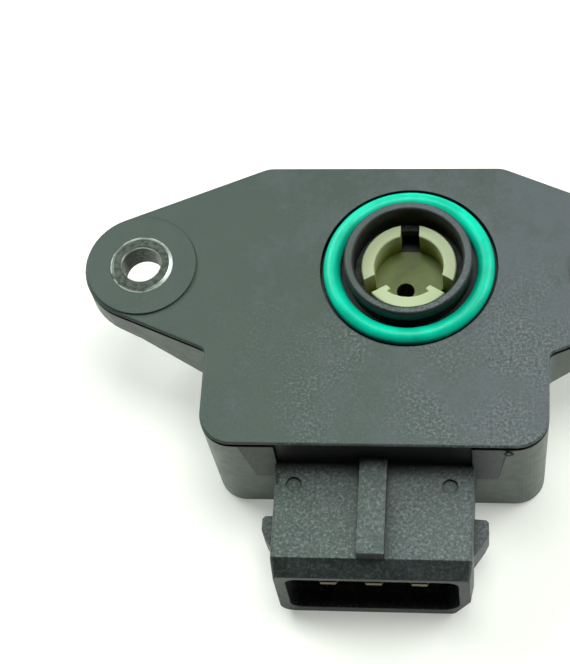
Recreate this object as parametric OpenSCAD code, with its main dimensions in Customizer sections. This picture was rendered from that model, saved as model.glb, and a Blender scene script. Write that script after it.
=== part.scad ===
/* [Mounting plate] */
// Distance between the two ear holes
ear_spacing = 54; // [50:0.5:60]
// Offset of the ears' middle from the hub axis, along X
ear_cx = -3.13; // [-5:0.01:0]
// Offset of the body's middle from the hub axis, along X
body_cx = -3.33; // [-5:0.01:0]
// Radius of the ear ends
ear_r = 6.5; // [5.8:0.05:7]
// Angle of the ears' sloping edges to the back edge, in degrees
ear_slope = 23; // [20:0.5:26]
// Half the width of the body
body_half_w = 18.85; // [17.5:0.05:20]
// Distance from the hub axis to the back edge
back_y = 12.85; // [12:0.1:14]
// Distance from the hub axis to the front edge
front_y = 21.7; // [20.5:0.1:23]
// Radius of the two front corners
corner_r = 3.6; // [2.5:0.1:5]
// Radius of the two corners on the back edge
back_r = 3; // [2.6:0.1:5]
// Radius of the fillet between an ear and the body side
fillet_r = 0.9; // [0.5:0.1:2]
// Thickness of the plate's lip over the housing rim
lip_t = 0.35; // [0.3:0.05:0.8]
// Depth of the plate's spigot below the mounting face
spigot_depth = 2.4; // [2:0.1:3]
// Height of the round pads at the ears above the mounting face
pad_h = 0.25; // [0.1:0.05:0.4]
// Gap between the pad's edge and the ear's edge
pad_margin = 0.3; // [0.2:0.05:0.8]

/* [Hub] */
// Outer diameter of the locating collar
collar_d = 14.24; // [13.5:0.02:15]
// Bore of the collar
collar_bore_d = 12.18; // [11.8:0.02:12.4]
// Height of the collar above the mounting face
collar_h = 2.3; // [1.5:0.1:3.5]
// Relief of the collar's foot, below its locating part
foot_relief = 0.3; // [0.25:0.05:0.5]
// Width of the seal ring's groove round the collar
groove_w = 2.78; // [2.6:0.02:3]
// Depth of the groove below the mounting face
groove_depth = 1.2; // [0.8:0.05:1.4]
// Thickness of the seal ring's round section
ring_section = 1.94; // [1.7:0.02:2.1]
// Gap between the seal ring and the groove's outer wall
ring_gap = 0.35; // [0.2:0.05:0.45]

/* [Rotor] */
// Outer diameter of the rotor's three fingers
rotor_d = 10.58; // [10:0.02:11]
// Diameter of the socket for the throttle shaft
socket_d = 7.72; // [7.2:0.02:8.2]
// Depth of the socket below the rim
socket_depth = 3.5; // [3:0.1:3.8]
// Height of the rim above the mounting face
rim_h = 0.27; // [0:0.01:1]
// Width of the slot that faces the back edge
slot_w = 2.1; // [1.5:0.1:2.6]
// Width of the other two slots between the fingers
side_slot_w = 1.8; // [1.4:0.1:2.4]
// Running clearance of the rotor in its two bearings, all round
run_gap = 0.05; // [0.02:0.01:0.08]
// Diameter of the disc that carries the brushes
carrier_d = 18.6; // [18.2:0.2:20]
// Thickness of the disc that carries the brushes
carrier_t = 1.6; // [1.2:0.1:1.8]

/* [Ear inserts] */
// Outer diameter of the steel inserts
bush_d = 7.1; // [6.6:0.02:7.6]
// Bore of the steel inserts
bush_bore_d = 4.4; // [4.2:0.1:5]
// Width of the bevel round an insert's rim
bush_bevel = 0.4; // [0.3:0.05:0.6]
// How far an insert stands out of its pad
bush_out = 0.25; // [0.1:0.05:0.4]
// Thickness of an ear at its insert
ear_t = 3; // [2.8:0.1:3.8]
// Depth of an ear's underside at its tip
ear_tip = 3.5; // [3:0.1:4]
// Depth of an ear's underside beside its insert
ear_mid = 4.5; // [4:0.1:5]
// Depth of an ear's underside where it meets the body
ear_root = 8.3; // [6:0.1:9]

/* [Housing] */
// Height of the body below the mounting face
body_h = 17.2; // [16.2:0.05:18.5]
// Thickness of the housing's walls
wall = 1.8; // [1.5:0.1:2]
// Thickness of the housing's floor
floor_t = 1.9; // [1.5:0.1:2]
// Height of the open seam between lip and rim
seam_h = 0.5; // [0.2:0.05:0.6]
// Depth of the open seam
seam_d = 0.5; // [0.3:0.05:0.8]
// Clearance between the plate's parts and the housing
fit_gap = 0.06; // [0.04:0.01:0.1]
// Radius of the housing's bottom edge
base_r = 0.7; // [0.4:0.1:1]
// Narrowing of the housing from its rim to its bottom, on each side
body_draft = 0.32; // [0.1:0.02:0.6]

/* [Connector] */
// Width of the connector's shroud
shroud_w = 21.7; // [20.6:0.1:22.4]
// Distance of the shroud's top below the mounting face
shroud_top = 5.4; // [5:0.1:6]
// Height of the shroud
shroud_h = 11.8; // [11.2:0.1:11.8]
// Length of the shroud in front of the body
shroud_len = 12.7; // [11:0.1:15]
// Thickness of the shroud's side walls
shroud_side_t = 1.5; // [1.2:0.05:1.8]
// Thickness of the shroud's top wall
shroud_top_t = 1.85; // [1.5:0.05:1.9]
// Thickness of the shroud's bottom wall
shroud_floor_t = 1.4; // [1:0.05:1.5]
// Depth of the shroud's cavity
cavity_depth = 9.4; // [8:0.1:9.6]
// Length of the bevel along the top of the mouth
mouth_bevel = 1.9; // [1:0.1:2.2]
// Drop of the bevel along the top of the mouth
mouth_drop = 1.2; // [0.8:0.05:1.3]
// Inset of the bevel along the sides of the mouth
mouth_side_in = 0.3; // [0.2:0.05:0.8]
// Width of the coding rib
rib_w = 3; // [2:0.1:4]
// Height of the coding rib
rib_h = 1.5; // [1:0.1:2]
// Height of the skirt that carries the shroud
skirt_h = 8.8; // [8.4:0.1:9.4]
// Width of the skirt at its top
skirt_w = 28.8; // [27:0.1:30]
// Narrowing of the skirt towards its bottom, on each side
skirt_draft = 1.1; // [0.4:0.1:1.5]
// How far the latch wedges stand out
wedge_out = 1.6; // [1:0.1:2.2]
// Length of the latch wedges
wedge_len = 4.9; // [4:0.1:6]

/* [Terminals] */
// Distance between the blades
pitch = 5; // [4.6:0.1:5.4]
// Width of a blade
blade_w = 2.4; // [2:0.1:2.8]
// Thickness of a blade
blade_t = 0.8; // [0.6:0.05:0.9]
// Distance of the blade tips inside the mouth
blade_recess = 1.3; // [0.8:0.1:3]

/* [Resistor board] */
// Depth of the board's upper face below the mounting face
board_depth = 10; // [9.6:0.1:10.4]
// Thickness of the board
board_t = 0.8; // [0.6:0.1:1]
// Width of the board beside its left solder pad
board_margin = 3.6; // [3.2:0.1:5]
// Gap between the board and the housing's right wall
board_gap_right = 1.2; // [0.8:0.1:2]
// Distance of the resistor track's middle inside the carrier's edge
track_inset = 0.8; // [0.7:0.1:1]
// Distance between the middles of the two tracks
track_step = 1.6; // [1.4:0.1:1.7]
// Width of the printed tracks
track_w = 1.1; // [0.9:0.1:1.3]

/* [Hidden] */
$fn = 72;
// Angle between neighbouring points on the outlines' arcs
arc_step = 7.5;
// Small overlap that joins solids and clears cuts
eps = 0.01;
// Inset of the plate's edge at the mounting face
edge_r = 0.2;
// Height of film parts, such as tracks and pads
film_t = 0.06;
// Gap between parts that slide on each other
slide_gap = 0.04;

plate_dark = [0.36, 0.40, 0.39];
housing_dark = [0.26, 0.28, 0.27];
seal_green = [0.0, 0.68, 0.53];
nylon_cream = [0.84, 0.86, 0.70];
steel = [0.72, 0.72, 0.72];
brass = [0.72, 0.62, 0.38];

// Places along X and Y that several parts share
ear_x = [ear_cx - ear_spacing / 2, ear_cx + ear_spacing / 2];
side_x = [body_cx - body_half_w, body_cx + body_half_w];
blade_x = [body_cx - pitch, body_cx, body_cx + pitch];
mouth_y = -front_y - shroud_len;
blade_z = -shroud_top - shroud_h / 2 - 0.4;
inner_blade_z = -skirt_h + 1.8;
rim_z = -lip_t - seam_h;
floor_z = -body_h + floor_t;
collar_r = collar_d / 2;
bore_r = collar_bore_d / 2;
groove_r = collar_r + groove_w;
ring_mid_r = groove_r - ring_gap - ring_section / 2;
ring_z = -groove_depth + ring_section / 2;
foot_top = ring_z + ring_section / 2 + 0.1;
rotor_r = rotor_d / 2;
socket_r = socket_d / 2;
socket_floor = rim_h - socket_depth;
journal_top = -groove_depth - 0.65;
washer_t = 0.16;
flange_top = -spigot_depth - washer_t - slide_gap;
flange_low = socket_floor - 1.2;
flange_r = 7.6;
stem_r = 3;
stem_low = floor_z + 2.5;
pin_r = 1.6;
boss_top = stem_low - 0.4;
carrier_low = flange_low - carrier_t;
track_r = carrier_d / 2 - track_inset;
collector_r = track_r - track_step;
track_z = -board_depth + film_t;

// Outlines as tangent arcs: centre, radius (below zero where hollow), and the
// outward direction at the arc's start and end
up_n = 90 - ear_slope;
function unit(a) = [cos(a), sin(a)];
// Middle of an arc that touches an ear's upper sloping edge at a known Y
function slope_x(ex, r, y, side) =
    ex + side * (ear_r - r - y * sin(up_n)) / cos(up_n);
// The same at a known X
function slope_y(ex, x, r, side) = (ear_r - r - side * (x - ex) * cos(up_n)) / sin(up_n);

front_arcs = [
    [[side_x[0] + corner_r, -front_y + corner_r], corner_r, 180, 270],
    [[side_x[1] - corner_r, -front_y + corner_r], corner_r, 270, 360]];
back_arcs = [
    [[slope_x(ear_x[1], back_r, back_y - back_r, 1), back_y - back_r], back_r, up_n, 90],
    [[slope_x(ear_x[0], back_r, back_y - back_r, -1), back_y - back_r], back_r, 90, 180 - up_n]];
hollow_x = [side_x[0] - fillet_r, side_x[1] + fillet_r];
plate_arcs = [
    [[ear_x[1], 0], ear_r, -up_n, up_n],
    back_arcs[0],
    back_arcs[1],
    [[ear_x[0], 0], ear_r, 180 - up_n, 180 + up_n],
    [[hollow_x[0], -slope_y(ear_x[0], hollow_x[0], -fillet_r, -1)], -fillet_r, 180 + up_n, 180],
    front_arcs[0],
    front_arcs[1],
    [[hollow_x[1], -slope_y(ear_x[1], hollow_x[1], -fillet_r, 1)], -fillet_r, 360, 360 - up_n]];
shoulder_x = [side_x[0] + back_r, side_x[1] - back_r];
body_arcs = [
    [[shoulder_x[1], slope_y(ear_x[1], shoulder_x[1], back_r, 1)], back_r, 0, up_n],
    back_arcs[0],
    back_arcs[1],
    [[shoulder_x[0], slope_y(ear_x[0], shoulder_x[0], back_r, -1)], back_r, 180 - up_n, 180],
    front_arcs[0],
    front_arcs[1]];

function arc_points(c, r, a0, a1) =
    let (n = max(1, round(abs(a1 - a0) / arc_step)))
    [for (i = [0 : n]) c + r * unit(a0 + (a1 - a0) * i / n)];
function ring(arcs, inset) = [for (k = arcs) each arc_points(k[0], k[1] - inset, k[2], k[3])];

// Upright solid of an outline between two heights
module prism(arcs, inset, z0, z1) {
    translate([0, 0, z0]) linear_extrude(height = z1 - z0) polygon(ring(arcs, inset));
}

// Solid through the same outline at rising heights, each with its own inset. Its
// ends are strips between mirrored points, from the back edge to the front
module rounded_prism(arcs, levels) {
    n = len(ring(arcs, 0));
    last = len(levels) - 1;
    first_left = len(ring([arcs[0], arcs[1]], 0));
    points = [for (l = levels) for (p = ring(arcs, l[1])) [p.x, p.y, l[0]]];
    sides = [for (k = [0 : last - 1]) for (i = [0 : n - 1])
        let (j = (i + 1) % n) [k * n + i, (k + 1) * n + i, (k + 1) * n + j, k * n + j]];
    left = [for (i = [0 : n / 2 - 1]) (first_left + i) % n];
    right = [for (i = [0 : n / 2 - 1]) (first_left - 1 - i + n) % n];
    bottom = [for (i = [0 : n / 2 - 2]) [right[i], left[i], left[i + 1], right[i + 1]]];
    top = [for (i = [0 : n / 2 - 2])
        [right[i + 1] + last * n, left[i + 1] + last * n, left[i] + last * n, right[i] + last * n]];
    polyhedron(points = points, faces = concat(sides, bottom, top));
}

// Box given by its low and high corners
module span(low, high) {
    translate(low) cube(high - low);
}

// Flat shape in the Y-Z plane, pushed along X between two places
module slab_x(x0, x1, points) {
    translate([x0, 0, 0]) rotate([90, 0, 90]) linear_extrude(height = x1 - x0) polygon(points);
}

// Flat shape in a front view, pushed along Y between two places
module push_y(points, y0, y1) {
    rotate([90, 0, 0]) translate([0, 0, -y1]) linear_extrude(height = y1 - y0) polygon(points);
}

// Ring with a rectangular section
module ring_solid(r0, r1, z0, z1) {
    translate([0, 0, z0]) difference() {
        cylinder(r = r1, h = z1 - z0);
        translate([0, 0, -1]) cylinder(r = r0, h = z1 - z0 + 2);
    }
}

// Skirt below the plate's front edge, in the window of the housing's front wall
module skirt_shape(grow, y0, y1) {
    top_half = skirt_w / 2 + grow;
    low_half = top_half - skirt_draft;
    push_y([[body_cx - low_half, -skirt_h - grow], [body_cx + low_half, -skirt_h - grow],
            [body_cx + top_half, rim_z], [body_cx - top_half, rim_z]], y0, y1);
}

// Shroud with its cavity, rib, wedges and pin marks
shroud_x = [body_cx - shroud_w / 2, body_cx + shroud_w / 2];
shroud_low = -shroud_top - shroud_h;
mouth_z = [shroud_low + shroud_floor_t, -shroud_top - shroud_top_t];
mouth_r = 1.2;
shroud_r = 1.7;
top_r = 0.6;
flat_w = 1.7;
flat_h = 4;

// Box with rounded corners, the largest of them beside the coding flat
function cavity_view(x, z, r, flat_r) = concat(
    arc_points([x[0] + r, z[0] + r], r, 180, 270),
    arc_points([x[1] - flat_r, z[0] + flat_r], flat_r, 270, 360),
    arc_points([x[1] - r, z[1] - r], r, 0, 90), arc_points([x[0] + r, z[1] - r], r, 90, 180));
// Outside of the shroud, with a coding flat along its lower right edge
function shroud_view(in, drop, lift) =
    let (x0 = shroud_x[0] + in, x1 = shroud_x[1] - in, z0 = shroud_low + lift, z1 = -shroud_top - drop)
    concat(arc_points([x0 + shroud_r, z0 + shroud_r], shroud_r, 180, 270),
           [[x1 - flat_w - 0.4, z0], [x1 - flat_w, z0 + 0.35], [x1, z0 + flat_h]],
           arc_points([x1 - top_r, z1 - top_r], top_r, 0, 90),
           arc_points([x0 + top_r, z1 - top_r], top_r, 90, 180));

// Latch wedge on a side wall: steep back, long ramp towards the mouth
module wedge(x, side) {
    back = -front_y - 4.4;
    half_h = 1.7;
    mid_z = -shroud_top - shroud_h / 2;
    translate([x, 0, mid_z - half_h]) linear_extrude(height = 2 * half_h)
        polygon([[-side * 0.3, back], [side * (wedge_out - 0.3), back - 0.1],
                 [side * wedge_out, back - 0.4], [side * wedge_out, back - 1.7],
                 [side * (wedge_out - 0.4), back - 2.6], [-side * 0.3, back - wedge_len]]);
}

module shroud() {
    mark_r = 0.85;
    mark_y = -front_y - 2.35;
    difference() {
        union() {
            push_y(shroud_view(0, 0, 0), mouth_y + mouth_bevel, -front_y - fit_gap);
            hull() {
                push_y(shroud_view(0, 0, 0), mouth_y + mouth_bevel, mouth_y + mouth_bevel + eps);
                push_y(shroud_view(mouth_side_in, mouth_drop, 0.1), mouth_y, mouth_y + eps);
            }
            span([shroud_x[0], -front_y - 1, -skirt_h + 0.3], [shroud_x[1], -front_y + 0.6, -shroud_top]);
            span([body_cx - rib_w / 2, mouth_y + mouth_bevel, -shroud_top - 0.5],
                 [body_cx + rib_w / 2, -front_y + 0.6, -shroud_top + rib_h]);
            wedge(shroud_x[0], -1);
            wedge(shroud_x[1], 1);
        }
        push_y(cavity_view([shroud_x[0] + shroud_side_t, shroud_x[1] - shroud_side_t], mouth_z,
                           mouth_r, 2),
               mouth_y - 1, mouth_y + cavity_depth);
        for (x = [shroud_x[0] + 2.15, shroud_x[1] - 2.55])
            translate([x, mark_y, -shroud_top - 0.4]) cylinder(r = mark_r, h = 1);
    }
}

// Blade: tip in the mouth, step up inside the moulding, end over the board
module blade(x) {
    tip = mouth_y + blade_recess;
    riser = -front_y - 1.9;
    inner = -front_y + 5.2;
    half = blade_t / 2;
    color(brass) {
        slab_x(x - blade_w / 2, x + blade_w / 2,
               [[tip + 0.5, blade_z - half], [riser + half, blade_z - half],
                [riser + half, inner_blade_z - half], [inner, inner_blade_z - half],
                [inner, inner_blade_z + half], [riser - half, inner_blade_z + half],
                [riser - half, blade_z + half], [tip + 0.5, blade_z + half]]);
        translate([x, 0, blade_z - half + 0.1]) linear_extrude(height = blade_t - 0.2)
            polygon([[-blade_w / 2, tip + 0.5], [-blade_w / 2 + 0.35, tip],
                     [blade_w / 2 - 0.35, tip], [blade_w / 2, tip + 0.5]]);
    }
}

module collar() {
    bevel = 0.25;
    rotate_extrude() polygon([
        [bore_r, -spigot_depth + eps], [collar_r - foot_relief, -spigot_depth + eps],
        [collar_r - foot_relief, foot_top], [collar_r, foot_top], [collar_r, collar_h - bevel],
        [collar_r - bevel, collar_h], [bore_r + bevel, collar_h], [bore_r, collar_h - bevel]]);
}

// One moulding: plate, collar, skirt and connector shroud
module front_moulding() {
    pocket_d = 0.45;
    color(plate_dark) difference() {
        union() {
            difference() {
                union() {
                    rounded_prism(plate_arcs, [[-lip_t, 0.04], [-lip_t + 0.08, 0], [-edge_r, 0],
                                               [-edge_r * 0.45, edge_r * 0.2], [0, edge_r]]);
                    prism(plate_arcs, wall + fit_gap, -spigot_depth, -lip_t + eps);
                    for (x = ear_x)
                        translate([x, 0, -eps]) cylinder(r = ear_r - pad_margin, h = pad_h + eps);
                    skirt_shape(0, -front_y, -front_y + wall + fit_gap + eps);
                    span([side_x[0] + wall + corner_r, -front_y + seam_d, rim_z - eps],
                         [side_x[1] - wall - corner_r, -front_y + wall + 1, -lip_t + eps]);
                }
                translate([0, 0, -groove_depth]) cylinder(r = groove_r, h = groove_depth + 1);
                cylinder(r = bore_r + 0.3, h = 2 * spigot_depth + 2, center = true);
                span([shroud_x[0] + 0.2, -front_y - 1, -shroud_top],
                     [shroud_x[1] - 0.2, -front_y + pocket_d, rim_z]);
            }
            collar();
            shroud();
        }
        for (x = ear_x)
            translate([x, 0, -spigot_depth - 1]) cylinder(r = bush_d / 2, h = spigot_depth + 3);
        for (x = blade_x)
            blade(x);
    }
}

// Sloping underside of both ears, as the space below them
module below_ears() {
    for (s = [-1, 1]) {
        flat_x = ear_cx + s * ear_spacing / 2;
        root_x = body_cx + s * (body_half_w - 0.6);
        far_x = flat_x + s * ear_r * 2;
        tip_x = flat_x + s * ear_r;
        push_y([[flat_x, -ear_mid], [tip_x, -ear_tip], [far_x, -ear_tip], [far_x, -body_h],
                [root_x, -body_h], [root_x, -ear_root]], -front_y, back_y + 1);
    }
}

// Inset of the housing's drafted wall at a height
function draft_at(z) = body_draft * (rim_z - z) / (rim_z + body_h - base_r);

// Cup behind the plate, with the ears' undersides
module rear_housing() {
    post_r = 1.3;
    spot_face_r = bush_d / 2 + 0.7;
    stake_h = board_t + 0.5;
    ear_low = -ear_root + 0.05;
    ear_in = 0.03;
    color(housing_dark) difference() {
        union() {
            difference() {
                rounded_prism(plate_arcs, [
                    [ear_low, draft_at(ear_low) + ear_in], [rim_z, ear_in]]);
                below_ears();
            }
            rounded_prism(body_arcs, [
                [-body_h, body_draft + base_r], [-body_h + base_r * 0.3, body_draft + base_r * 0.3],
                [-body_h + base_r, body_draft], [rim_z, 0]]);
            prism(plate_arcs, seam_d, rim_z - 0.5, -lip_t);
        }
        prism(body_arcs, wall, floor_z, 1);
        prism(plate_arcs, wall, -spigot_depth - fit_gap, 1);
        skirt_shape(fit_gap, -front_y - 1, -front_y + wall + 1);
        span([side_x[0] + wall + corner_r, -front_y - 1, rim_z - fit_gap],
             [side_x[1] - wall - corner_r, -front_y + wall + 1, 1]);
        for (x = ear_x) {
            translate([x, 0, -body_h]) cylinder(r = spot_face_r, h = body_h - ear_t);
            translate([x, 0, -ear_t - 1]) cylinder(r = bush_d / 2, h = ear_t + 3);
        }
    }
    color(housing_dark) {
        for (p = post_places) {
            translate([p.x, p.y, floor_z - eps])
                cylinder(r = post_r, h = board_low - floor_z + eps);
            translate([p.x, p.y, board_low - eps]) cylinder(r = stake_r, h = stake_h + eps);
        }
        ring_solid(pin_r + run_gap, pin_r + 1.5, floor_z - eps, boss_top);
    }
}

// Steel insert that takes the clamping force of the screw
module ear_bush(x) {
    rim = pad_h + bush_out;
    bore_bevel = 0.12;
    color(steel) translate([x, 0, 0]) rotate_extrude() polygon([
        [bush_bore_d / 2, -ear_t], [bush_d / 2, -ear_t], [bush_d / 2, pad_h],
        [bush_d / 2 - bush_bevel, rim], [bush_bore_d / 2 + bore_bevel, rim],
        [bush_bore_d / 2, rim - bore_bevel]]);
}
module ear_bush_left() ear_bush(ear_x[0]);
module ear_bush_right() ear_bush(ear_x[1]);

// Rubber ring that seals the sensor to the throttle body
module seal_ring() {
    color(seal_green) translate([0, 0, ring_z + slide_gap / 2]) rotate_extrude()
        translate([ring_mid_r, 0]) circle(d = ring_section - slide_gap / 2, $fn = 32);
}

// Narrow rubber ring that keeps dust out of the rotor's bearing
module dust_seal() {
    color([0.30, 0.31, 0.30])
        ring_solid(rotor_r + slide_gap, bore_r - eps, journal_top + slide_gap, journal_top + 0.6);
}

// Plastic washer between the plate and the rotor's flange
module thrust_washer() {
    color([0.9, 0.9, 0.88])
        ring_solid(bore_r + 0.25, flange_r - 0.1, flange_top + slide_gap, -spigot_depth);
}

// Rotor: three fingers round the shaft socket, bearing, flange, stem and lower pin
module rotor() {
    lug = 0.45;
    gap_top = 0.25;
    rim_bevel = 0.12;
    pin_low = floor_z + 0.3;
    rim_out = [[rotor_r, journal_top], [rotor_r, rim_h - rim_bevel], [rotor_r - rim_bevel, rim_h]];
    rim_in = [[socket_r + rim_bevel, rim_h], [socket_r, rim_h - rim_bevel], [socket_r, socket_floor]];
    color(nylon_cream) difference() {
        union() {
            rotate_extrude() polygon(concat(
                [[0, flange_low], [flange_r, flange_low], [flange_r, flange_top],
                 [bore_r - run_gap, flange_top], [bore_r - run_gap, journal_top]],
                rim_out, rim_in, [[0, socket_floor]]));
            translate([0, 0, stem_low]) cylinder(r = stem_r, h = flange_low - stem_low + eps);
            translate([0, 0, pin_low]) cylinder(r = pin_r, h = stem_low - pin_low + eps);
            for (s = [-1, 1])
                rotate([0, 0, 270 + s * 43]) span([socket_r - lug, -0.5, socket_floor - eps],
                                                  [socket_r + 0.4, 0.5, rim_h]);
        }
        for (k = [[90, slot_w], [210, side_slot_w], [330, side_slot_w]])
            rotate([0, 0, k[0]]) {
                span([socket_r - 0.8, -k[1] / 2, socket_floor + gap_top],
                     [flange_r + 1, k[1] / 2, rim_h + 1]);
                span([socket_r - 0.2, -k[1] / 2, flange_low - 1], [bore_r - 0.2, k[1] / 2, rim_h]);
            }
        translate([-0.45, -1.35, socket_floor - 4.5]) cylinder(r = 1, h = 5);
    }
}

// Disc pressed on the stem, which carries both brushes
module brush_carrier() {
    color([0.16, 0.13, 0.10]) ring_solid(stem_r, carrier_d / 2, carrier_low, flange_low);
}

// Brush: foot on the carrier and three springy fingers down to a track
module brush(r, a) {
    foot = 3.4;
    reach = 4.6;
    toe = 0.5;
    t = 0.16;
    low = track_z + slide_gap;
    finger_w = track_w * 0.22;
    finger_step = track_w * 0.36;
    color(brass) rotate([0, 0, a]) {
        span([r - track_w / 2, -foot, carrier_low - t], [r + track_w / 2, 0.4, carrier_low]);
        for (x = [r - finger_step, r, r + finger_step])
            slab_x(x - finger_w / 2, x + finger_w / 2,
                   [[0.3, carrier_low - t], [0.3, carrier_low - t / 2], [reach, low + toe],
                    [reach + toe, low + toe + 0.1], [reach + toe, low + 0.35], [reach, low],
                    [reach - 0.3, low + 0.1]]);
    }
}
module brush_outer() brush(track_r, 195);
module brush_inner() brush(collector_r, 15);

// Spring washer under the stem, which takes up the end play
module spring_washer() {
    color(steel) ring_solid(pin_r + 0.1, pin_r + 1.3, boss_top + 0.02, stem_low - 0.03);
}

// Ceramic board with a hole round the stem and four stake holes
stake_r = 0.8;
stake_gap = 0.1;
post_in = 2;
board_low = -board_depth - board_t;
pad_half = [1.1, 1];
board_x = [blade_x[0] - pad_half.x - board_margin, side_x[1] - wall - board_gap_right];
board_y = [-front_y + wall + 2.4, back_y - wall - 0.9];
post_places = [for (x = [board_x[0] + post_in, board_x[1] - post_in])
    for (y = [board_y[0] + post_in, board_y[1] - post_in]) [x, y]];
module resistor_board() {
    color([0.88, 0.88, 0.84]) difference() {
        span([board_x[0], board_y[0], board_low], [board_x[1], board_y[1], -board_depth]);
        translate([0, 0, board_low - 1]) cylinder(r = stem_r + 1.2, h = board_t + 2);
        for (p = post_places)
            translate([p.x, p.y, board_low - 1]) cylinder(r = stake_r + stake_gap, h = board_t + 2);
    }
}

// Printed arc on the board between two directions
module track(r, a0, a1) {
    steps = [for (i = [0 : 36]) a0 + (a1 - a0) * i / 36];
    outer = [for (a = steps) (r + track_w / 2) * unit(a)];
    inner = [for (a = steps) (r - track_w / 2) * unit(a0 + a1 - a)];
    translate([0, 0, -board_depth]) linear_extrude(height = film_t) polygon(concat(outer, inner));
}
module resistor_track() color([0.08, 0.08, 0.09]) track(track_r, 205, 335);
module collector_track() color([0.75, 0.74, 0.70]) track(collector_r, 30, 160);

// Solder pads under the contact springs
pad_y = board_y[0] + pad_half.y + 0.1;
module board_pads() {
    color([0.78, 0.78, 0.76]) for (x = blade_x)
        span([x - pad_half.x, pad_y - pad_half.y, -board_depth],
             [x + pad_half.x, pad_y + pad_half.y, track_z]);
}

// Leaf spring from a blade's inner end down to its pad
module contact(x) {
    t = 0.2;
    half_w = blade_w / 3;
    top = inner_blade_z - blade_t / 2;
    toe_z = track_z + slide_gap;
    toe_y = pad_y - pad_half.y + 0.1;
    y0 = -front_y + wall + 0.3;
    y1 = -front_y + 5;
    color(brass) slab_x(x - half_w, x + half_w,
        [[y0, top], [y0, top - t], [y1 - t, top - t], [y1 - 0.5, toe_z + t], [toe_y, toe_z + t],
         [toe_y, toe_z], [y1 - 0.3, toe_z], [y1, top - t / 2], [y1, top]]);
}
module blade_left() blade(blade_x[0]);
module blade_middle() blade(blade_x[1]);
module blade_right() blade(blade_x[2]);
module contact_left() contact(blade_x[0]);
module contact_middle() contact(blade_x[1]);
module contact_right() contact(blade_x[2]);

front_moulding();
rear_housing();
ear_bush_left();
ear_bush_right();
seal_ring();
dust_seal();
thrust_washer();
rotor();
brush_carrier();
brush_outer();
brush_inner();
spring_washer();
resistor_board();
resistor_track();
collector_track();
board_pads();
blade_left();
blade_middle();
blade_right();
contact_left();
contact_middle();
contact_right();
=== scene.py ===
# Throttle position sensor: looks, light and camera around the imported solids
import math

import bpy
from mathutils import Matrix, Vector


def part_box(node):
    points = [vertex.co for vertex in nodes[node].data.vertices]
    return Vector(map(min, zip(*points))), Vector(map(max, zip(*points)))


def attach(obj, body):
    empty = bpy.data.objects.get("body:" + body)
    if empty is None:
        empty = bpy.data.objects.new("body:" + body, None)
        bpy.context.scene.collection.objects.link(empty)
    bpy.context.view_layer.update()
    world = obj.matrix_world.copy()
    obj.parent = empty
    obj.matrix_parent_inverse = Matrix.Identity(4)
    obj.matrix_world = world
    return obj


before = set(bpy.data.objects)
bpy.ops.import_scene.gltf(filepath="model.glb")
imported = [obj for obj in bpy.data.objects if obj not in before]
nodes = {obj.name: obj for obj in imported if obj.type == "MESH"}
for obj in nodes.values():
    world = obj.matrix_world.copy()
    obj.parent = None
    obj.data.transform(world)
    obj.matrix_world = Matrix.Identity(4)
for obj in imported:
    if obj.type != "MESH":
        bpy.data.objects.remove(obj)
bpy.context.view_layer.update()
mm = 0.001  # one millimetre in scene units
nylonIor = 1.53
bpy.ops.object.select_all(action="DESELECT")


# ---- small helpers ----
def colour(hexText):  # sRGB hex to linear colour with alpha
    values = []
    for start in (1, 3, 5):
        c = int(hexText[start:start + 2], 16) / 255
        values.append(c / 12.92 if c <= 0.04045 else ((c + 0.055) / 1.055) ** 2.4)
    return (*values, 1.0)


def addNode(tree, kind, inputs=None, **settings):  # a node with its settings and links
    made = tree.nodes.new("ShaderNode" + kind)
    for key, value in settings.items():
        setattr(made, key, value)
    for socket, value in (inputs or {}).items():
        if isinstance(value, bpy.types.NodeSocket):
            tree.links.new(value, made.inputs[socket])
        else:
            made.inputs[socket].default_value = value
    return made.outputs


def newMaterial(name):  # empty material: its tree, its shader and its object coordinates
    made = bpy.data.materials.new(name)
    made.use_nodes = True
    tree = made.node_tree
    place = addNode(tree, "TexCoord")["Object"]
    return made, tree, tree.nodes["Principled BSDF"], place


def scaleOf(size):  # texture scale that gives grains of this size in millimetres
    return 1 / (size * mm)


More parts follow.
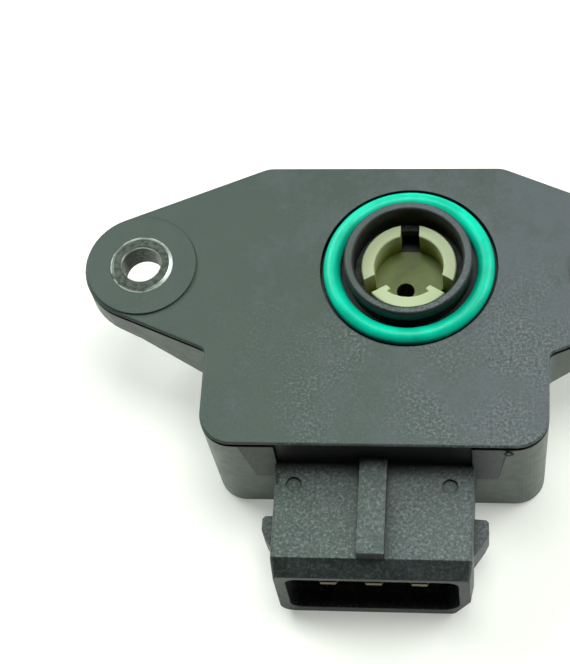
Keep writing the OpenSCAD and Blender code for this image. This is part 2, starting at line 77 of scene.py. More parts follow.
# ---- plastics of the two mouldings ----
mouldedNylon = {
    # colours
    "green": "#26352d",       # greener, darker patches; the painted light leaves more of them on the left
    "grey": "#45484d",        # greyer, paler patches; the painted light puts more of them on the right
    "fleckAndHighlight": "#727a78",       # glass fibres, and painted highlights on the grain's tips
    "pitShade": "#0e1513",         # painted shade in the bottoms of the grain
    "grimeAndShade": "#050706",       # painted shade in corners, under the seam, in the pocket and on the mouth; black round the hub
    # patches and flecks; sizes, lengths and heights are in millimetres
    "patchSize": 7.0,
    "patchRange": (0.35, 0.65),  # cloud values that make green and grey
    "paintedLightSpan": 110.0,        # painted light: length over which the surface pales from left to right
    "zoneSize": 9.0,          # flecks lie in zones of this size on the plate
    "zoneRange": (0.4, 0.58),
    "zoneFrom": 1.0,          # and start at this Y, towards the plug
    "zoneTo": -8.0,
    "zoneLeft": -19.0,        # and to the right of this X
    "zoneFade": 12.0,
    "zoneLeast": 0.15,        # share of flecks that is left outside
    "skirtTop": -0.4,         # under this Z only the shroud has flecks
    "shroudStart": -21.9,     # in front of this Y the grain is coarser
    "shroudFade": 0.3,
    "fleckSize": 0.34,        # clumps of fibres; single ones show in its finer octave
    "fleckRange": (0.51, 0.77),
    "fleckShare": 0.8,
    "pitRange": (0.48, 0.28),
    # painted shade, and black round the hub
    "cornerReach": 4.0,       # how far a corner gathers painted shade
    "cornerRange": (0.75, 0.35),  # openness at which painted shade starts and covers all
    "hubBlackRadius": 9.7,      # black round the axis: groove, collar and bore
    "hubBlackTop": 2.2,         # up to just under the collar's end face
    "mouthStart": -32.42,     # in front of this Y the mouth's bevel and lip get painted shade, as they face away from the light
    "mouthFade": 0.08,
    "mouthShare": 0.6,
    "seamBand": (-1.15, -0.9),  # heights between which painted shade under the seam fades in
    "seamShare": 0.85,
    "lipUnderside": -0.5,     # no painted shade of the seam over this Z
    "pocketFront": -21.6,     # behind this Y and under the lip's underside, painted shade blackens the pocket
    # surface
    "roughness": (0.44, 0.58),
    "grainSize": 0.5,
    "grainDepth": 0.08,
    "grainStrength": 0.35,
    "grainShare": (0.4, 1.0),  # of that depth on the plate and on the shroud
    "edgeRadius": 0.15,       # edges catch the light as if rounded by this
}


def makeMouldedNylon():
    # 30% glass-filled nylon 66, moulded in a spark-eroded tool: satin dark grey with pale flecks,
    # partly fibres in the skin and partly painted highlights, coarser on the plug shroud; painted
    # light pales it from left to right, and painted shade darkens corners, seam, pocket and mouth
    opts = mouldedNylon
    made, tree, shader, place = newMaterial("glassFilledNylonGrained")
    cloud = addNode(tree, "TexNoise", {"Vector": place, "Scale": scaleOf(opts["patchSize"]),
                                       "Detail": 5.0, "Roughness": 0.75})["Fac"]
    x, y, z = addNode(tree, "SeparateXYZ", {0: place})
    # Painted light: the tone shifts from green on the left to paler grey on the right
    toneAndPaintedLight = addNode(tree, "Math", {0: x, 1: 1 / (opts["paintedLightSpan"] * mm), 2: cloud},
                      operation="MULTIPLY_ADD")[0]
    toneAndPaintedLight = addNode(tree, "MapRange", {"Value": toneAndPaintedLight, "From Min": opts["patchRange"][0],
                                         "From Max": opts["patchRange"][1]})[0]
    base = addNode(tree, "Mix", {0: toneAndPaintedLight, 6: colour(opts["green"]), 7: colour(opts["grey"])},
                   data_type="RGBA")[2]
    start = opts["shroudStart"] * mm
    onShroud = addNode(tree, "MapRange", {"Value": y, "From Min": start + opts["shroudFade"] * mm,
                                          "From Max": start})[0]
    area = addNode(tree, "TexNoise", {"Vector": place, "Scale": scaleOf(opts["zoneSize"]),
                                      "Detail": 2.0})["Fac"]
    area = addNode(tree, "MapRange", {"Value": area, "From Min": opts["zoneRange"][0],
                                      "From Max": opts["zoneRange"][1], "To Min": 0.2})[0]
    front = addNode(tree, "MapRange", {"Value": y, "From Min": opts["zoneFrom"] * mm,
                                       "From Max": opts["zoneTo"] * mm,
                                       "To Min": opts["zoneLeast"]})[0]
    right = addNode(tree, "MapRange", {"Value": x, "From Min": opts["zoneLeft"] * mm,
                                       "From Max": (opts["zoneLeft"] + opts["zoneFade"]) * mm,
                                       "To Min": opts["zoneLeast"]})[0]
    upper = addNode(tree, "MapRange", {"Value": z, "From Min": opts["skirtTop"] * mm,
                                       "From Max": (opts["skirtTop"] + 0.1) * mm,
                                       "To Min": 0.1})[0]
    for mask in (front, right, upper):
        area = addNode(tree, "Math", {0: area, 1: mask}, operation="MULTIPLY")[0]
    zone = addNode(tree, "Math", {0: area, 1: onShroud}, operation="MAXIMUM")[0]
    # Pale flecks: partly glass fibres, partly painted highlights on the grain's tips, in zones on
    # the plate's top and over the shroud
    speck = addNode(tree, "TexNoise", {"Vector": place, "Scale": scaleOf(opts["fleckSize"]),
                                       "Detail": 1.5, "Roughness": 0.8})["Fac"]
    tipHighlights = addNode(tree, "MapRange", {"Value": speck, "From Min": opts["fleckRange"][0],
                                      "From Max": opts["fleckRange"][1],
                                      "To Max": opts["fleckShare"]})[0]
    tipHighlights = addNode(tree, "Math", {0: tipHighlights, 1: zone}, operation="MULTIPLY")[0]
    base = addNode(tree, "Mix", {0: tipHighlights, 6: base, 7: colour(opts["fleckAndHighlight"])},
                   data_type="RGBA")[2]
    # Painted shade in the bottoms of the grain
    paintedPitShade = addNode(tree, "MapRange", {"Value": speck, "From Min": opts["pitRange"][0],
                                      "From Max": opts["pitRange"][1]})[0]
    paintedPitShade = addNode(tree, "Math", {0: paintedPitShade, 1: zone}, operation="MULTIPLY")[0]
    base = addNode(tree, "Mix", {0: paintedPitShade, 6: base, 7: colour(opts["pitShade"])}, data_type="RGBA")[2]
    # Painted shade in corners and recesses, stronger where less of the room is open
    openness = addNode(tree, "AmbientOcclusion", {"Distance": opts["cornerReach"] * mm},
                       samples=8)["AO"]
    cornerShade = addNode(tree, "MapRange", {"Value": openness, "From Min": opts["cornerRange"][0],
                                        "From Max": opts["cornerRange"][1]})[0]
    # Black round the axis, up to just under the collar's end face
    flat = addNode(tree, "VectorMath", {0: place, 1: (1.0, 1.0, 0.0)}, operation="MULTIPLY")[0]
    radius = addNode(tree, "VectorMath", {0: flat}, operation="LENGTH")["Value"]
    hub = addNode(tree, "Math", {0: radius, 1: opts["hubBlackRadius"] * mm},
                  operation="LESS_THAN")[0]
    belowEndFace = addNode(tree, "Math", {0: z, 1: opts["hubBlackTop"] * mm}, operation="LESS_THAN")[0]
    hubBlack = addNode(tree, "Math", {0: hub, 1: belowEndFace}, operation="MULTIPLY")[0]
    # Painted shade on the mouth's bevel and lip, which face away from the light
    mouthShade = addNode(tree, "MapRange", {"Value": y, "From Min": opts["mouthStart"] * mm,
                                       "From Max": (opts["mouthStart"] - opts["mouthFade"]) * mm,
                                       "To Max": opts["mouthShare"]})[0]
    # Painted shade in the band under the seam and in the pocket over the shroud
    seamShade = addNode(tree, "MapRange", {"Value": z, "From Min": opts["seamBand"][0] * mm,
                                      "From Max": opts["seamBand"][1] * mm,
                                      "To Max": opts["seamShare"]})[0]
    pocketShade = addNode(tree, "Math", {0: y, 1: opts["pocketFront"] * mm},
                     operation="GREATER_THAN")[0]
    gapShade = addNode(tree, "Math", {0: seamShade, 1: pocketShade}, operation="MAXIMUM")[0]
    below = addNode(tree, "Math", {0: z, 1: opts["lipUnderside"] * mm},
                    operation="LESS_THAN")[0]
    gapShade = addNode(tree, "Math", {0: gapShade, 1: below}, operation="MULTIPLY")[0]
    # All painted shade, with the black round the hub, darkens the base
    paintedShadeAndHub = cornerShade
    for mask in (hubBlack, mouthShade, gapShade):
        paintedShadeAndHub = addNode(tree, "Math", {0: paintedShadeAndHub, 1: mask}, operation="MAXIMUM")[0]
    base = addNode(tree, "Mix", {0: paintedShadeAndHub, 6: base, 7: colour(opts["grimeAndShade"])},
                   data_type="RGBA")[2]
    tree.links.new(base, shader.inputs["Base Color"])
    satin = addNode(tree, "MapRange", {"Value": cloud, "From Min": opts["patchRange"][0],
                                       "From Max": opts["patchRange"][1],
                                       "To Min": opts["roughness"][0],
                                       "To Max": opts["roughness"][1]})[0]
    tree.links.new(satin, shader.inputs["Roughness"])
    shader.inputs["IOR"].default_value = nylonIor
    grain = addNode(tree, "TexNoise", {"Vector": place, "Scale": scaleOf(opts["grainSize"]),
                                       "Detail": 3.0, "Roughness": 0.6})["Fac"]
    deep = addNode(tree, "MapRange", {"Value": onShroud, "To Min": opts["grainShare"][0],
                                      "To Max": opts["grainShare"][1]})[0]
    relief = addNode(tree, "Math", {0: grain, 1: deep}, operation="MULTIPLY")[0]
    edges = addNode(tree, "Bevel", {"Radius": opts["edgeRadius"] * mm}, samples=6)["Normal"]
    normal = addNode(tree, "Bump", {"Height": relief, "Strength": opts["grainStrength"],
                                    "Distance": opts["grainDepth"] * mm,
                                    "Normal": edges})["Normal"]
    tree.links.new(normal, shader.inputs["Normal"])
    return made


housingNylon = {
    "base": "#32423a",
    "worn": "#3f4f47",        # flow marks
    "grimeAndShade": "#050706",       # painted shade under the seam
    # sizes, lengths and heights are in millimetres
    "markSize": 3.0,          # across
    "markSquash": 0.25,       # makes them four times as long up the wall
    "markRange": (0.35, 0.7),
    "seamBand": (-1.2, -0.92),  # heights between which painted shade under the seam fades in
    "seamShare": 0.85,
    "roughness": (0.34, 0.46),
    "satinSize": 1.2,         # of the duller and shinier spots
    "grainSize": 0.4,
    "grainDepth": 0.05,
    "grainStrength": 0.15,
    "edgeRadius": 0.12,
}


def makeHousingNylon():
    # The same glass-filled nylon from a plainer tool: smoother satin, faint flow marks, painted
    # shade under the seam
    opts = housingNylon
    made, tree, shader, place = newMaterial("glassFilledNylonSmooth")
    flow = addNode(tree, "Mapping", {"Vector": place,
                                     "Scale": (1.0, 1.0, opts["markSquash"])})[0]
    marks = addNode(tree, "TexNoise", {"Vector": flow, "Scale": scaleOf(opts["markSize"]),
                                       "Detail": 3.0})["Fac"]
    marks = addNode(tree, "MapRange", {"Value": marks, "From Min": opts["markRange"][0],
                                       "From Max": opts["markRange"][1]})[0]
    base = addNode(tree, "Mix", {0: marks, 6: colour(opts["base"]), 7: colour(opts["worn"])},
                   data_type="RGBA")[2]
    z = addNode(tree, "SeparateXYZ", {0: place})["Z"]
    # Painted shade in the band under the seam
    seamShade = addNode(tree, "MapRange", {"Value": z, "From Min": opts["seamBand"][0] * mm,
                                      "From Max": opts["seamBand"][1] * mm,
                                      "To Max": opts["seamShare"]})[0]
    base = addNode(tree, "Mix", {0: seamShade, 6: base, 7: colour(opts["grimeAndShade"])},
                   data_type="RGBA")[2]
    tree.links.new(base, shader.inputs["Base Color"])
    satin = addNode(tree, "TexNoise", {"Vector": place,
                                       "Scale": scaleOf(opts["satinSize"])})["Fac"]
    satin = addNode(tree, "MapRange", {"Value": satin, "From Min": 0.3, "From Max": 0.7,
                                       "To Min": opts["roughness"][0],
                                       "To Max": opts["roughness"][1]})[0]
    tree.links.new(satin, shader.inputs["Roughness"])
    shader.inputs["IOR"].default_value = nylonIor
    grain = addNode(tree, "TexNoise", {"Vector": place,
                                       "Scale": scaleOf(opts["grainSize"])})["Fac"]
    edges = addNode(tree, "Bevel", {"Radius": opts["edgeRadius"] * mm}, samples=6)["Normal"]
    normal = addNode(tree, "Bump", {"Height": grain, "Strength": opts["grainStrength"],
                                    "Distance": opts["grainDepth"] * mm,
                                    "Normal": edges})["Normal"]
    tree.links.new(normal, shader.inputs["Normal"])
    return made


# ---- rubber ----
sealRubber = {
    "base": "#00d0ae",
    "deep": "#00b493",
    "dust": "#1ad8b8",        # specks in the grease film
    # sizes are in millimetres
    "cloudSize": 2.5,
    "dustSize": 0.18,
    "dustRange": (0.66, 0.78),
    "dustShare": 0.4,
    "filmSize": 1.0,
    "roughness": (0.28, 0.38),
    "ior": 1.52,
    "specular": 0.22,
    "skinSize": 0.6,
    "skinDepth": 0.03,
    "skinStrength": 0.08,
}


def makeSealRubber():
    # Hydrogenated nitrile rubber, moulded in a polished tool: clear emerald with a soft
    # gloss, a little dust in the grease film
    opts = sealRubber
    made, tree, shader, place = newMaterial("nitrileRubberGreen")
    cloud = addNode(tree, "TexNoise", {"Vector": place,
                                       "Scale": scaleOf(opts["cloudSize"])})["Fac"]
    cloud = addNode(tree, "MapRange", {"Value": cloud, "From Min": 0.3, "From Max": 0.7})[0]
    base = addNode(tree, "Mix", {0: cloud, 6: colour(opts["base"]), 7: colour(opts["deep"])},
                   data_type="RGBA")[2]
    speck = addNode(tree, "TexNoise", {"Vector": place,
                                       "Scale": scaleOf(opts["dustSize"])})["Fac"]
    speck = addNode(tree, "MapRange", {"Value": speck, "From Min": opts["dustRange"][0],
                                       "From Max": opts["dustRange"][1],
                                       "To Max": opts["dustShare"]})[0]
    base = addNode(tree, "Mix", {0: speck, 6: base, 7: colour(opts["dust"])},
                   data_type="RGBA")[2]
    tree.links.new(base, shader.inputs["Base Color"])
    film = addNode(tree, "TexNoise", {"Vector": place, "Scale": scaleOf(opts["filmSize"])})["Fac"]
    film = addNode(tree, "MapRange", {"Value": film, "From Min": 0.3, "From Max": 0.7,
                                      "To Min": opts["roughness"][0],
                                      "To Max": opts["roughness"][1]})[0]
    tree.links.new(film, shader.inputs["Roughness"])
    shader.inputs["IOR"].default_value = opts["ior"]
    shader.inputs["Specular IOR Level"].default_value = opts["specular"]
    skin = addNode(tree, "TexNoise", {"Vector": place, "Scale": scaleOf(opts["skinSize"])})["Fac"]
    normal = addNode(tree, "Bump", {"Height": skin, "Strength": opts["skinStrength"],
                                    "Distance": opts["skinDepth"] * mm})["Normal"]
    tree.links.new(normal, shader.inputs["Normal"])
    return made


dustRubber = {
    "base": "#1b1d1b",
    "dust": "#3a3d39",
    "dustSize": 0.5,          # millimetres
    "roughness": 0.7,
    "dustDepth": 0.03,        # millimetres
    "dustStrength": 0.2,
}


def makeDustRubber():
    # Black nitrile rubber lip, moulded, dull with a little dust
    opts = dustRubber
    made, tree, shader, place = newMaterial("nitrileRubberDusty")
    dust = addNode(tree, "TexNoise", {"Vector": place, "Scale": scaleOf(opts["dustSize"]),
                                      "Detail": 3.0})["Fac"]
    dust = addNode(tree, "MapRange", {"Value": dust, "From Min": 0.4, "From Max": 0.7})[0]
    base = addNode(tree, "Mix", {0: dust, 6: colour(opts["base"]), 7: colour(opts["dust"])},
                   data_type="RGBA")[2]
    tree.links.new(base, shader.inputs["Base Color"])
    shader.inputs["Roughness"].default_value = opts["roughness"]
    normal = addNode(tree, "Bump", {"Height": dust, "Strength": opts["dustStrength"],
                                    "Distance": opts["dustDepth"] * mm})["Normal"]
    tree.links.new(normal, shader.inputs["Normal"])
    return made


# ---- natural nylon of the rotor ----
rotorNylon = {
    "base": "#abb08c",
    "shade": "#7d8424",       # painted shade down in the socket
    "floor": "#5c640e",       # painted shade on the bottom of the socket
    "grimeAndShade": "#4c5228",       # grease film
    "hole": "#12130a",        # painted shade in the hole under the socket
    # heights over the mounting face and sizes are in millimetres
    "rimDepth": (-0.1, -2.6),  # heights between which base turns to painted shade
    "floorHeight": -3.23,
    "floorFade": (0.6, 0.05),  # over the floor, where shade turns to floor
    "holeFade": (0.05, 0.3),  # under the floor, where floor turns to hole
    "filmSize": 0.9,
    "filmRange": (0.42, 0.72),
    "filmShare": 0.5,
    "roughness": 0.42,
    "glow": 0.4,              # share of light that goes through the nylon
    "glowColour": (1.0, 0.9, 0.4),
    "glowReach": 0.8,
    "skinSize": 0.5,
    "skinDepth": 0.06,
    "skinStrength": 0.25,
    "edgeRadius": 0.1,
}


def makeRotorNylon():
    # Unfilled natural nylon, moulded: cream and slightly translucent; painted shade turns it
    # olive down in the socket and near black in the hole; a grease film in the socket
    opts = rotorNylon
    made, tree, shader, place = newMaterial("naturalNylon")
    z = addNode(tree, "SeparateXYZ", {0: place})["Z"]
    # Painted shade: darker and more olive down the socket, near black in the hole
    depth = addNode(tree, "MapRange", {"Value": z, "From Min": opts["rimDepth"][0] * mm,
                                       "From Max": opts["rimDepth"][1] * mm})[0]
    base = addNode(tree, "Mix", {0: depth, 6: colour(opts["base"]), 7: colour(opts["shade"])},
                   data_type="RGBA")[2]
    floor = opts["floorHeight"] * mm
    low = addNode(tree, "MapRange", {"Value": z, "From Min": floor + opts["floorFade"][0] * mm,
                                     "From Max": floor + opts["floorFade"][1] * mm})[0]
    base = addNode(tree, "Mix", {0: low, 6: base, 7: colour(opts["floor"])},
                   data_type="RGBA")[2]
    under = addNode(tree, "MapRange", {"Value": z, "From Min": floor - opts["holeFade"][0] * mm,
                                       "From Max": floor - opts["holeFade"][1] * mm})[0]
    base = addNode(tree, "Mix", {0: under, 6: base, 7: colour(opts["hole"])},
                   data_type="RGBA")[2]
    film = addNode(tree, "TexNoise", {"Vector": place, "Scale": scaleOf(opts["filmSize"]),
                                      "Detail": 3.0})["Fac"]
    film = addNode(tree, "MapRange", {"Value": film, "From Min": opts["filmRange"][0],
                                      "From Max": opts["filmRange"][1],
                                      "To Max": opts["filmShare"]})[0]
    film = addNode(tree, "Math", {0: film, 1: depth}, operation="MULTIPLY")[0]
    base = addNode(tree, "Mix", {0: film, 6: base, 7: colour(opts["grimeAndShade"])},
                   data_type="RGBA")[2]
    tree.links.new(base, shader.inputs["Base Color"])
    shader.inputs["Roughness"].default_value = opts["roughness"]
    shader.inputs["IOR"].default_value = nylonIor
    shader.inputs["Subsurface Weight"].default_value = opts["glow"]
    shader.inputs["Subsurface Radius"].default_value = opts["glowColour"]
    shader.inputs["Subsurface Scale"].default_value = opts["glowReach"] * mm
    skin = addNode(tree, "TexNoise", {"Vector": place, "Scale": scaleOf(opts["skinSize"]),
                                      "Detail": 3.0})["Fac"]
    edges = addNode(tree, "Bevel", {"Radius": opts["edgeRadius"] * mm}, samples=6)["Normal"]
    normal = addNode(tree, "Bump", {"Height": skin, "Strength": opts["skinStrength"],
                                    "Distance": opts["skinDepth"] * mm,
                                    "Normal": edges})["Normal"]
    tree.links.new(normal, shader.inputs["Normal"])
    return made


# ---- metals ----
insertSteel = {
    "base": "#c8cac4",        # clean bevel
    "dull": "#4c4f4a",        # flat face, oxidised and rough
    "stain": "#262a26",
    "scrape": "#c9cec6",      # plastic scraped up along the rim
    # heights over the mounting face, places and sizes are in millimetres
    "faceHeight": 0.47,
    "faceFade": 0.02,
    "boreTop": (0.2, 0.1),    # heights between which the bevel turns to the dull bore
    "earMiddle": -3.13,       # place of the two inserts, as in the solids
    "halfSpacing": 27.0,
    "leftShadeFrom": -1.2,       # left of this, from the insert's axis, the bevel gets painted shade, as the light comes from the right
    "leftShadeTo": -2.4,
    "leftShadeShare": 0.75,
    "stainSize": 0.5,
    "stainRange": (0.42, 0.68),
    "scrapeFrom": 3.36,       # radius where the scrape starts
    "scrapeTo": 3.5,
    "scrapeSize": 0.7,
    "scrapeRange": (0.42, 0.56),
    "spotSize": 0.35,         # of the duller and shinier spots
    "roughness": (0.3, 0.5),
    "turnedSize": 0.2,        # marks of the lathe, coarser than real so that they show
    "turnedDepth": 0.03,
    "turnedStrength": 0.3,
    "edgeRadius": 0.08,
}


def makeInsertSteel():
    # Turned steel bush, zinc plated: dull stained face, clean bevel that mirrors the room,
    # painted shade on the bevel's left side, a thin broken ring of scraped plastic round its rim
    opts = insertSteel
    made, tree, shader, place = newMaterial("zincPlatedSteel")
    parts = addNode(tree, "SeparateXYZ", {0: place})
    face = opts["faceHeight"] * mm
    onFace = addNode(tree, "MapRange", {"Value": parts["Z"], "From Min": face,
                                        "From Max": face + opts["faceFade"] * mm})[0]
    inside = addNode(tree, "MapRange", {"Value": parts["Z"], "From Min": opts["boreTop"][0] * mm,
                                        "From Max": opts["boreTop"][1] * mm})[0]
    worn = addNode(tree, "Math", {0: onFace, 1: inside}, operation="MAXIMUM")[0]
    side = addNode(tree, "Math", {0: parts["X"], 1: opts["earMiddle"] * mm},
                   operation="SUBTRACT")[0]
    sign = addNode(tree, "Math", {0: side}, operation="SIGN")[0]
    side = addNode(tree, "Math", {0: sign, 1: -opts["halfSpacing"] * mm, 2: side},
                   operation="MULTIPLY_ADD")[0]
    # Painted shade on the bevel's left side; worn holds it together with the dull face and bore
    leftShade = addNode(tree, "MapRange", {"Value": side, "From Min": opts["leftShadeFrom"] * mm,
                                        "From Max": opts["leftShadeTo"] * mm,
                                        "To Max": opts["leftShadeShare"]})[0]
    worn = addNode(tree, "Math", {0: worn, 1: leftShade}, operation="MAXIMUM")[0]
    stain = addNode(tree, "TexNoise", {"Vector": place, "Scale": scaleOf(opts["stainSize"]),
                                       "Detail": 4.0, "Roughness": 0.65})["Fac"]
    stain = addNode(tree, "MapRange", {"Value": stain, "From Min": opts["stainRange"][0],
                                       "From Max": opts["stainRange"][1]})[0]
    dull = addNode(tree, "Mix", {0: stain, 6: colour(opts["dull"]), 7: colour(opts["stain"])},
                   data_type="RGBA")[2]
    base = addNode(tree, "Mix", {0: worn, 6: colour(opts["base"]), 7: dull},
                   data_type="RGBA")[2]
    flat = addNode(tree, "CombineXYZ", {"X": side, "Y": parts["Y"]})[0]
    radius = addNode(tree, "VectorMath", {0: flat}, operation="LENGTH")["Value"]
    rim = addNode(tree, "MapRange", {"Value": radius, "From Min": opts["scrapeFrom"] * mm,
                                     "From Max": opts["scrapeTo"] * mm})[0]
    broken = addNode(tree, "TexNoise", {"Vector": place, "Scale": scaleOf(opts["scrapeSize"]),
                                        "Detail": 3.0})["Fac"]
    broken = addNode(tree, "MapRange", {"Value": broken, "From Min": opts["scrapeRange"][0],
                                        "From Max": opts["scrapeRange"][1]})[0]
    scrape = addNode(tree, "Math", {0: rim, 1: broken}, operation="MULTIPLY")[0]
    base = addNode(tree, "Mix", {0: scrape, 6: base, 7: colour(opts["scrape"])},
                   data_type="RGBA")[2]
    tree.links.new(base, shader.inputs["Base Color"])
    metal = addNode(tree, "MapRange", {"Value": scrape, "To Min": 1.0, "To Max": 0.0})[0]
    tree.links.new(metal, shader.inputs["Metallic"])
    rough = addNode(tree, "TexNoise", {"Vector": place, "Scale": scaleOf(opts["spotSize"]),
                                       "Detail": 3.0})["Fac"]
    rough = addNode(tree, "MapRange", {"Value": rough, "From Min": 0.3, "From Max": 0.7,
                                       "To Min": opts["roughness"][0],
                                       "To Max": opts["roughness"][1]})[0]
    tree.links.new(rough, shader.inputs["Roughness"])
    turned = addNode(tree, "TexNoise", {"Vector": place, "Scale": scaleOf(opts["turnedSize"]),
                                        "Detail": 3.0})["Fac"]
    edges = addNode(tree, "Bevel", {"Radius": opts["edgeRadius"] * mm}, samples=6)["Normal"]
    normal = addNode(tree, "Bump", {"Height": turned, "Strength": opts["turnedStrength"],
                                    "Distance": opts["turnedDepth"] * mm,
                                    "Normal": edges})["Normal"]
    tree.links.new(normal, shader.inputs["Normal"])
    return made


bladeBrass = {
    "base": "#958f74",
    "line": "#7c765e",
    "lineSize": 0.12,         # millimetres across, coarser than real ones so that they show
    "lineSquash": 0.08,       # makes the lines run along the blade
    "roughness": (0.32, 0.48),
    "lineDepth": 0.02,        # millimetres
    "lineStrength": 0.15,
    "edgeRadius": 0.1,        # millimetres
}


def makeBladeBrass():
    # Rolled brass strip with thin tin plating, stamped: dull pale gold with rolling lines
    opts = bladeBrass
    made, tree, shader, place = newMaterial("tinnedBrass")
    along = addNode(tree, "Mapping", {"Vector": place,
                                      "Scale": (1.0, opts["lineSquash"], 1.0)})[0]
    lines = addNode(tree, "TexNoise", {"Vector": along, "Scale": scaleOf(opts["lineSize"]),
                                       "Detail": 3.0})["Fac"]
    share = addNode(tree, "MapRange", {"Value": lines, "From Min": 0.35, "From Max": 0.65})[0]
    base = addNode(tree, "Mix", {0: share, 6: colour(opts["base"]), 7: colour(opts["line"])},
                   data_type="RGBA")[2]
    tree.links.new(base, shader.inputs["Base Color"])
    shader.inputs["Metallic"].default_value = 1.0
    rough = addNode(tree, "MapRange", {"Value": lines, "From Min": 0.3, "From Max": 0.7,
                                       "To Min": opts["roughness"][0],
                                       "To Max": opts["roughness"][1]})[0]
    tree.links.new(rough, shader.inputs["Roughness"])
    edges = addNode(tree, "Bevel", {"Radius": opts["edgeRadius"] * mm}, samples=6)["Normal"]
    normal = addNode(tree, "Bump", {"Height": lines, "Strength": opts["lineStrength"],
                                    "Distance": opts["lineDepth"] * mm,
                                    "Normal": edges})["Normal"]
    tree.links.new(normal, shader.inputs["Normal"])
    return made


springBronze = {
    "base": "#c79a63",
    "line": "#b0834f",
    "grainSize": 0.15,        # millimetres, coarser than the real grain so that it shows
    "roughness": (0.24, 0.36),
}


def makeSpringBronze():
    # Rolled phosphor bronze strip: warm, with the fine grain of the rolls
    opts = springBronze
    made, tree, shader, place = newMaterial("phosphorBronze")
    grain = addNode(tree, "TexNoise", {"Vector": place, "Scale": scaleOf(opts["grainSize"]),
                                       "Detail": 3.0})["Fac"]
    share = addNode(tree, "MapRange", {"Value": grain, "From Min": 0.35, "From Max": 0.65})[0]
    base = addNode(tree, "Mix", {0: share, 6: colour(opts["base"]), 7: colour(opts["line"])},
                   data_type="RGBA")[2]
    tree.links.new(base, shader.inputs["Base Color"])
    shader.inputs["Metallic"].default_value = 1.0
    rough = addNode(tree, "MapRange", {"Value": grain, "From Min": 0.3, "From Max": 0.7,
                                       "To Min": opts["roughness"][0],
                                       "To Max": opts["roughness"][1]})[0]
    tree.links.new(rough, shader.inputs["Roughness"])
    return made


# ---- hidden parts ----
hiddenFinishes = {
    # name: (colour, second colour, grain in mm, roughness, metallic)
    "fluoropolymerWhite": ("#e4e4de", "#d6d6cf", 0.8, 0.45, 0.0),   # skived tape, waxy
    "phenolicBrown": ("#2c211a", "#211812", 0.5, 0.5, 0.0),         # moulded, fine filler
    "aluminaCeramic": ("#e6e5dc", "#dbdad0", 0.3, 0.55, 0.0),       # fired tape, matte
    "carbonFilm": ("#1d1d1e", "#28282a", 0.2, 0.4, 0.0),            # screen-printed track
    "silverPalladium": ("#b8b7b0", "#a3a29a", 0.15, 0.35, 1.0),     # printed and fired pads
}


def makeHiddenFinish(name):  # two-tone surface with fine relief, for one of the names above
    first, second, grainSize, roughness, metallic = hiddenFinishes[name]
    made, tree, shader, place = newMaterial(name)
    grain = addNode(tree, "TexNoise", {"Vector": place, "Scale": scaleOf(grainSize),
                                       "Detail": 3.0})["Fac"]
    share = addNode(tree, "MapRange", {"Value": grain, "From Min": 0.35, "From Max": 0.65})[0]
    base = addNode(tree, "Mix", {0: share, 6: colour(first), 7: colour(second)},
                   data_type="RGBA")[2]
    tree.links.new(base, shader.inputs["Base Color"])
    shader.inputs["Roughness"].default_value = roughness
    shader.inputs["Metallic"].default_value = metallic
    normal = addNode(tree, "Bump", {"Height": grain, "Strength": 0.15,
                                    "Distance": 0.02 * mm})["Normal"]
    tree.links.new(normal, shader.inputs["Normal"])
    return made


def dress(material, *names):  # gives CAD nodes this finish
    for name in names:
        mesh = nodes[name].data
        mesh.materials.clear()
        mesh.materials.append(material)


smoothNylon = makeHousingNylon()
dress(makeMouldedNylon(), "front_moulding")
dress(smoothNylon, "rear_housing")
dress(makeSealRubber(), "seal_ring")
dress(makeDustRubber(), "dust_seal")
dress(makeRotorNylon(), "rotor")
dress(makeInsertSteel(), "ear_bush_left", "ear_bush_right", "spring_washer")
dress(makeBladeBrass(), "blade_left", "blade_middle", "blade_right")
dress(makeSpringBronze(), "brush_outer", "brush_inner", "contact_left", "contact_middle",
      "contact_right")
dress(makeHiddenFinish("fluoropolymerWhite"), "thrust_washer")
dress(makeHiddenFinish("phenolicBrown"), "brush_carrier")
dress(makeHiddenFinish("aluminaCeramic"), "resistor_board")
dress(makeHiddenFinish("carbonFilm"), "resistor_track")
dress(makeHiddenFinish("silverPalladium"), "collector_track", "board_pads")
print("finishes on all nodes")

# ---- flash at the seam ----
seamFlash = {
    # lengths are in millimetres
    "place": (11.27, -22.02, -1.12),  # at the skirt's upper right corner
    "ring": 0.3,              # radius of the curl
    "thread": 0.12,           # radius of the squeezed-out thread
    "stretch": (1.3, 1.0, 0.8),
    "lean": 35,               # degrees that its front edge stands up
    "unevenness": 0.05,
    "seed": 4,
}


def makeSeamFlash():
    # Curl of nylon that the bonding squeezed out of the seam, cut off and left standing
    opts = seamFlash
    bpy.ops.mesh.primitive_torus_add(major_segments=28, minor_segments=10,
                                     major_radius=opts["ring"] * mm,
                                     minor_radius=opts["thread"] * mm)
    curl = bpy.context.object
    curl.name = "seam_flash"
    bpy.ops.object.mode_set(mode="EDIT")
    bpy.ops.mesh.select_all(action="SELECT")
    bpy.ops.transform.resize(value=opts["stretch"], center_override=(0, 0, 0))
    bpy.ops.transform.rotate(value=math.radians(opts["lean"]), orient_axis="X",
                             center_override=(0, 0, 0))
    bpy.ops.transform.vertex_random(offset=opts["unevenness"] * mm, seed=opts["seed"])
    bpy.ops.mesh.vertices_smooth(factor=0.5, repeat=2)
    bpy.ops.transform.translate(value=[value * mm for value in opts["place"]])
    bpy.ops.object.mode_set(mode="OBJECT")
    bpy.ops.object.shade_smooth()
    bpy.ops.object.select_all(action="DESELECT")
    curl.data.materials.append(smoothNylon)
    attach(curl, "sensor_body")


makeSeamFlash()
print("flash at the seam")

# ---- table and surroundings ----
table = {
    "size": 1.6,              # metres
    "paint": "#e6dedb",
    "lift": "#959893",        # what camera and mirror rays see on top of the lit paint
}


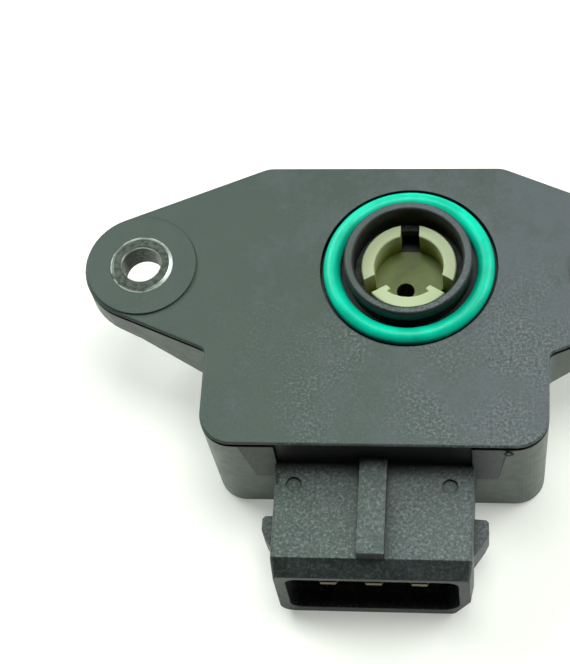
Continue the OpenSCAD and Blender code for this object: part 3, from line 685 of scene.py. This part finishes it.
def addBackdropRays(tree):  # 1 for the rays that are to see the white surroundings
    rays = addNode(tree, "LightPath")
    clear = addNode(tree, "Math", {0: rays["Is Glossy Ray"], 1: rays["Is Transmission Ray"]},
                    operation="MAXIMUM")[0]
    return rays["Is Camera Ray"], clear


def makeTable():
    # White laminate table top: matte, and as white to the camera as the photograph's
    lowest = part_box("rear_housing")[0].z
    bpy.ops.mesh.primitive_plane_add(size=table["size"], location=(0, 0, lowest))
    top = bpy.context.object
    top.name = "tableTop"
    bpy.ops.object.transform_apply(location=True)
    bpy.ops.object.select_all(action="DESELECT")
    made, tree, shader, _ = newMaterial("whiteLaminate")
    shader.inputs["Base Color"].default_value = colour(table["paint"])
    shader.inputs["Roughness"].default_value = 0.9
    shader.inputs["Specular IOR Level"].default_value = 0.0
    camera, clear = addBackdropRays(tree)
    seen = addNode(tree, "Math", {0: camera, 1: clear}, operation="MAXIMUM")[0]
    shader.inputs["Emission Color"].default_value = colour(table["lift"])
    tree.links.new(seen, shader.inputs["Emission Strength"])
    top.data.materials.append(made)


surroundings = {
    "room": 0.015,            # dim room, which lights the object
    "backdrop": 1.0,          # white to the camera
    "bandTop": 0.12,          # sine of the elevation up to which mirrors see the white
    "bandFade": 0.08,
}


def makeSurroundings():
    # Dim room with a low pale backdrop all round the table
    opts = surroundings
    world = bpy.data.worlds.new("studioRoom")
    bpy.context.scene.world = world
    world.use_nodes = True
    tree = world.node_tree
    way = addNode(tree, "TexCoord")["Generated"]
    z = addNode(tree, "SeparateXYZ", {0: way})["Z"]
    low = addNode(tree, "MapRange", {"Value": z, "From Min": opts["bandTop"] + opts["bandFade"],
                                     "From Max": opts["bandTop"]})[0]
    camera, clear = addBackdropRays(tree)
    clear = addNode(tree, "Math", {0: low, 1: clear}, operation="MULTIPLY")[0]
    seen = addNode(tree, "Math", {0: camera, 1: clear}, operation="MAXIMUM")[0]
    level = addNode(tree, "MapRange", {"Value": seen, "To Min": opts["room"],
                                       "To Max": opts["backdrop"]})[0]
    tree.links.new(level, tree.nodes["Background"].inputs["Strength"])
    tree.nodes["Background"].inputs["Color"].default_value = colour("#ffffff")


lamps = {
    # name: (azimuth, elevation, distance, width, height, watts, tint); azimuth 0 is behind
    # the object and 90 to its right, lengths in metres
    "windowRight": (70, 35, 1.2, 0.9, 0.6, 10.2, "#f0fdf7"),
    "windowLeft": (-50, 37, 1.2, 0.9, 0.6, 14.2, "#eefdf8"),
    "ceilingLight": (28, 80, 1.3, 0.8, 0.5, 11.2, "#f0fdf5"),
}


def makeLamps():  # rectangular soft lights aimed at the object
    for name, (azimuth, elevation, distance, width, height, watts, tint) in lamps.items():
        a, e = math.radians(azimuth), math.radians(elevation)
        towards = Vector((math.sin(a) * math.cos(e), math.cos(a) * math.cos(e), math.sin(e)))
        data = bpy.data.lights.new(name, "AREA")
        data.shape = "RECTANGLE"
        data.size, data.size_y = width, height
        data.energy = watts
        data.color = colour(tint)[:3]
        lamp = bpy.data.objects.new(name, data)
        bpy.context.scene.collection.objects.link(lamp)
        lamp.location = towards * distance
        lamp.rotation_mode = "QUATERNION"
        lamp.rotation_quaternion = (-towards).to_track_quat("-Z", "Y")


makeTable()
makeSurroundings()
makeLamps()
print("table, room and lights")

# ---- camera, solved from the photograph ----
viewOfPhoto = {
    "place": (12.37, -107.63, 195.9),  # millimetres
    "tilt": 27.66,            # degrees off the mounting face's axis
    "turn": -14.52,
    "roll": -12.51,
    "lens": 108.909,          # millimetres, as is the sensor's width
    "sensor": 36,
}


def makeCamera():
    opts = viewOfPhoto
    turned = (Matrix.Rotation(math.radians(opts["roll"]), 3, "Z")
              @ Matrix.Diagonal((1, -1, -1))
              @ Matrix.Rotation(math.radians(-opts["tilt"]), 3, "X")
              @ Matrix.Rotation(math.radians(opts["turn"]), 3, "Z"))
    axes = Matrix((turned[0], -turned[1], -turned[2])).transposed()
    data = bpy.data.cameras.new("photoCamera")
    data.lens = opts["lens"]
    data.sensor_width = opts["sensor"]
    data.clip_start = 0.01
    data.clip_end = 20
    camera = bpy.data.objects.new("photoCamera", data)
    bpy.context.scene.collection.objects.link(camera)
    camera.rotation_mode = "QUATERNION"
    camera.rotation_quaternion = axes.to_quaternion()
    camera.location = Vector(opts["place"]) * mm
    bpy.context.scene.camera = camera


makeCamera()
bpy.context.scene.view_settings.view_transform = "Standard"
print("camera")
